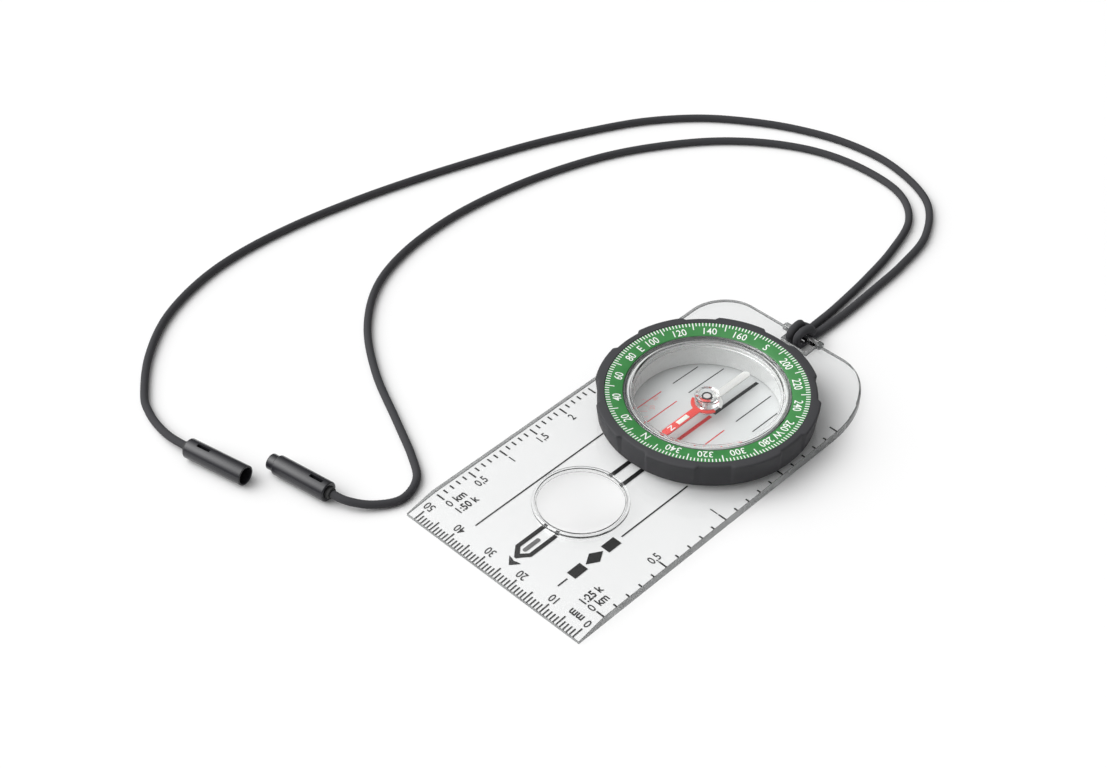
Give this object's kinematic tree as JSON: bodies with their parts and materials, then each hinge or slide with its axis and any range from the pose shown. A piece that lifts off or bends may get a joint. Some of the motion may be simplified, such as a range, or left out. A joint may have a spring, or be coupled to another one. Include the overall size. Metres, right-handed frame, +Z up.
{
  "type": "baseplate compass",
  "caption": "Clear baseplate compass with a turning degree dial, a magnetic needle on a jewel pivot, a magnifier lens, map scales and a neck cord with a push-together clasp.",
  "frame": {"origin": "on the rest plane, under the middle of the plate", "axes": "+Y along the direction of travel, towards the ruler edge; +Z up; +X to the right of a user facing +Y"},
  "size_m": [0.1576, 0.2098, 0.0091],
  "materials": {
    "clear_plate": "clear, polished",
    "lens_plastic": "clear, polished",
    "bezel_black": "fine matte",
    "degree_green": "satin, printed",
    "capsule_wall": "pale translucent",
    "capsule_window": "clear, polished",
    "capsule_floor": "pale translucent, printed",
    "keeper_plastic": "pale translucent",
    "seat_metal": "polished",
    "pin_steel": "polished",
    "needle_red": "satin paint",
    "needle_white": "satin paint",
    "hub_clear": "clear, polished",
    "jewel": "polished stone",
    "collar_metal": "dark, turned",
    "luminous_white": "flat paint",
    "cord_braid": "braided",
    "clasp_black": "satin moulded",
    "ferrule_black": "matte"
  },
  "bodies": {
    "plate": {"baseplate": "clear_plate", "magnifier_lens": "lens_plastic", "lanyard_hitch": "cord_braid", "lanyard_strand_outer": "cord_braid", "lanyard_strand_inner": "cord_braid", "clasp_socket": "clasp_black", "socket_ferrule": "ferrule_black", "clasp_plug": "clasp_black", "plug_ferrule": "ferrule_black"},
    "dial": {"bezel_ring": "bezel_black", "degree_ring": "degree_green", "capsule_body": "capsule_wall", "capsule_lid": "capsule_window", "capsule_base": "capsule_floor", "retaining_ring": "keeper_plastic", "pivot_seat": "seat_metal", "pivot_pin": "pin_steel"},
    "needle": {"needle_north": "needle_red", "needle_south": "needle_white", "needle_hub": "hub_clear", "hub_jewel": "jewel", "jewel_collar": "collar_metal", "luminous_patch": "luminous_white"}
  },
  "joints": [
    {"name": "dial_turn", "type": "hinge", "parent": "plate", "child": "dial", "pos_m": [0, -0.01725, 0.003], "axis": [0, 0, 1], "continuous": true},
    {"name": "needle_swing", "type": "hinge", "parent": "dial", "child": "needle", "pos_m": [0, -0.01725, 0.0057], "axis": [0, 0, 1], "continuous": true}
  ]
}
